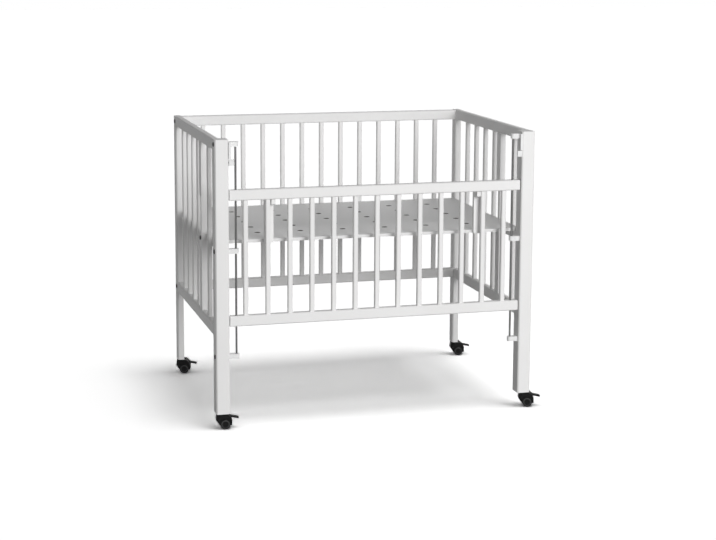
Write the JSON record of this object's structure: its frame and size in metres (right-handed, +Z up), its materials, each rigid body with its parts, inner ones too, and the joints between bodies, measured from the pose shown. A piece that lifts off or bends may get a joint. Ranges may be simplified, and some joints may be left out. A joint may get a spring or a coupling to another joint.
{
  "type": "bedside sleeper crib",
  "caption": "Slatted bedside crib on braked casters, with a vented mattress board and a front gate that slides up and down on two rods and is held raised by latches.",
  "frame": {"origin": "centre of the whole box, on the floor that the casters stand on", "axes": "+X along the crib from its left end to its right end, +Y from the gate to the back, +Z up"},
  "size_m": [0.9994, 0.6928, 0.83],
  "materials": {
    "painted_wood": "satin white paint",
    "white_plastic": "moulded white plastic",
    "rod_steel": "drawn steel rod",
    "caster_plastic": "moulded black plastic",
    "wheel_plastic": "black nylon wheel"
  },
  "bodies": {
    "crib_frame": {"front_leg_left": "painted_wood", "back_leg_left": "painted_wood", "end_top_rail_left": "painted_wood", "end_bottom_rail_left": "painted_wood", "end_slats_left": "painted_wood", "bolt_post_left": "painted_wood", "board_cleat_left": "painted_wood", "gate_rest_left": "painted_wood", "rod_brackets_left": "white_plastic", "latch_arm_left": "white_plastic", "guide_rod_left": "rod_steel", "front_leg_right": "painted_wood", "back_leg_right": "painted_wood", "end_top_rail_right": "painted_wood", "end_bottom_rail_right": "painted_wood", "end_slats_right": "painted_wood", "bolt_post_right": "painted_wood", "board_cleat_right": "painted_wood", "gate_rest_right": "painted_wood", "rod_brackets_right": "white_plastic", "latch_arm_right": "white_plastic", "guide_rod_right": "rod_steel", "back_top_rail": "painted_wood", "back_bottom_rail": "painted_wood", "back_slats": "painted_wood", "mattress_board": "painted_wood"},
    "gate": {"gate_top_rail": "painted_wood", "gate_bottom_rail": "painted_wood", "gate_slats": "painted_wood"},
    "latch_left": {"latch_button_left": "white_plastic"},
    "latch_right": {"latch_button_right": "white_plastic"},
    "caster_front_left": {"caster_hood_front_left": "caster_plastic"},
    "wheels_front_left": {"caster_wheels_front_left": "wheel_plastic"},
    "brake_front_left": {"brake_lever_front_left": "caster_plastic"},
    "caster_front_right": {"caster_hood_front_right": "caster_plastic"},
    "wheels_front_right": {"caster_wheels_front_right": "wheel_plastic"},
    "brake_front_right": {"brake_lever_front_right": "caster_plastic"},
    "caster_back_left": {"caster_hood_back_left": "caster_plastic"},
    "wheels_back_left": {"caster_wheels_back_left": "wheel_plastic"},
    "brake_back_left": {"brake_lever_back_left": "caster_plastic"},
    "caster_back_right": {"caster_hood_back_right": "caster_plastic"},
    "wheels_back_right": {"caster_wheels_back_right": "wheel_plastic"},
    "brake_back_right": {"brake_lever_back_right": "caster_plastic"}
  },
  "joints": [
    {"name": "gate_slide", "type": "slide", "parent": "crib_frame", "child": "gate", "axis": [0, 0, 1], "range_m": [0, 0.118]},
    {"name": "latch_left_slide", "type": "slide", "parent": "crib_frame", "child": "latch_left", "axis": [0, 1, 0], "range_m": [0, 0.0085]},
    {"name": "latch_right_slide", "type": "slide", "parent": "crib_frame", "child": "latch_right", "axis": [0, 1, 0], "range_m": [0, 0.0085]},
    {"name": "swivel_front_left", "type": "hinge", "parent": "crib_frame", "child": "caster_front_left", "pos_m": [-0.4792, -0.31823, 0.04], "axis": [0, 0, 1], "continuous": true},
    {"name": "roll_front_left", "type": "hinge", "parent": "caster_front_left", "child": "wheels_front_left", "pos_m": [-0.46627, -0.31959, 0.015], "axis": [0.1045, 0.9945, 0], "continuous": true},
    {"name": "brake_front_left_press", "type": "hinge", "parent": "caster_front_left", "child": "brake_front_left", "pos_m": [-0.4603, -0.32022, 0.038], "axis": [0.1045, 0.9945, 0], "range_deg": [0, 11]},
    {"name": "swivel_front_right", "type": "hinge", "parent": "crib_frame", "child": "caster_front_right", "pos_m": [0.4418, -0.31823, 0.04], "axis": [0, 0, 1], "continuous": true},
    {"name": "roll_front_right", "type": "hinge", "parent": "caster_front_right", "child": "wheels_front_right", "pos_m": [0.4543, -0.32181, 0.015], "axis": [0.2756, 0.9613, 0], "continuous": true},
    {"name": "brake_front_right_press", "type": "hinge", "parent": "caster_front_right", "child": "brake_front_right", "pos_m": [0.46006, -0.32347, 0.038], "axis": [0.2756, 0.9613, 0], "range_deg": [0, 11]},
    {"name": "swivel_back_left", "type": "hinge", "parent": "crib_frame", "child": "caster_back_left", "pos_m": [-0.4837, 0.32577, 0.04], "axis": [0, 0, 1], "continuous": true},
    {"name": "roll_back_left", "type": "hinge", "parent": "caster_back_left", "child": "wheels_back_left", "pos_m": [-0.47109, 0.32262, 0.015], "axis": [0.2419, 0.9703, 0], "continuous": true},
    {"name": "brake_back_left_press", "type": "hinge", "parent": "caster_back_left", "child": "brake_back_left", "pos_m": [-0.46526, 0.32117, 0.038], "axis": [0.2419, 0.9703, 0], "range_deg": [0, 11]},
    {"name": "swivel_back_right", "type": "hinge", "parent": "crib_frame", "child": "caster_back_right", "pos_m": [0.4463, 0.32577, 0.04], "axis": [0, 0, 1], "continuous": true},
    {"name": "roll_back_right", "type": "hinge", "parent": "caster_back_right", "child": "wheels_back_right", "pos_m": [0.4591, 0.32351, 0.015], "axis": [0.1736, 0.9848, 0], "continuous": true},
    {"name": "brake_back_right_press", "type": "hinge", "parent": "caster_back_right", "child": "brake_back_right", "pos_m": [0.46501, 0.32247, 0.038], "axis": [0.1736, 0.9848, 0], "range_deg": [0, 11]}
  ]
}
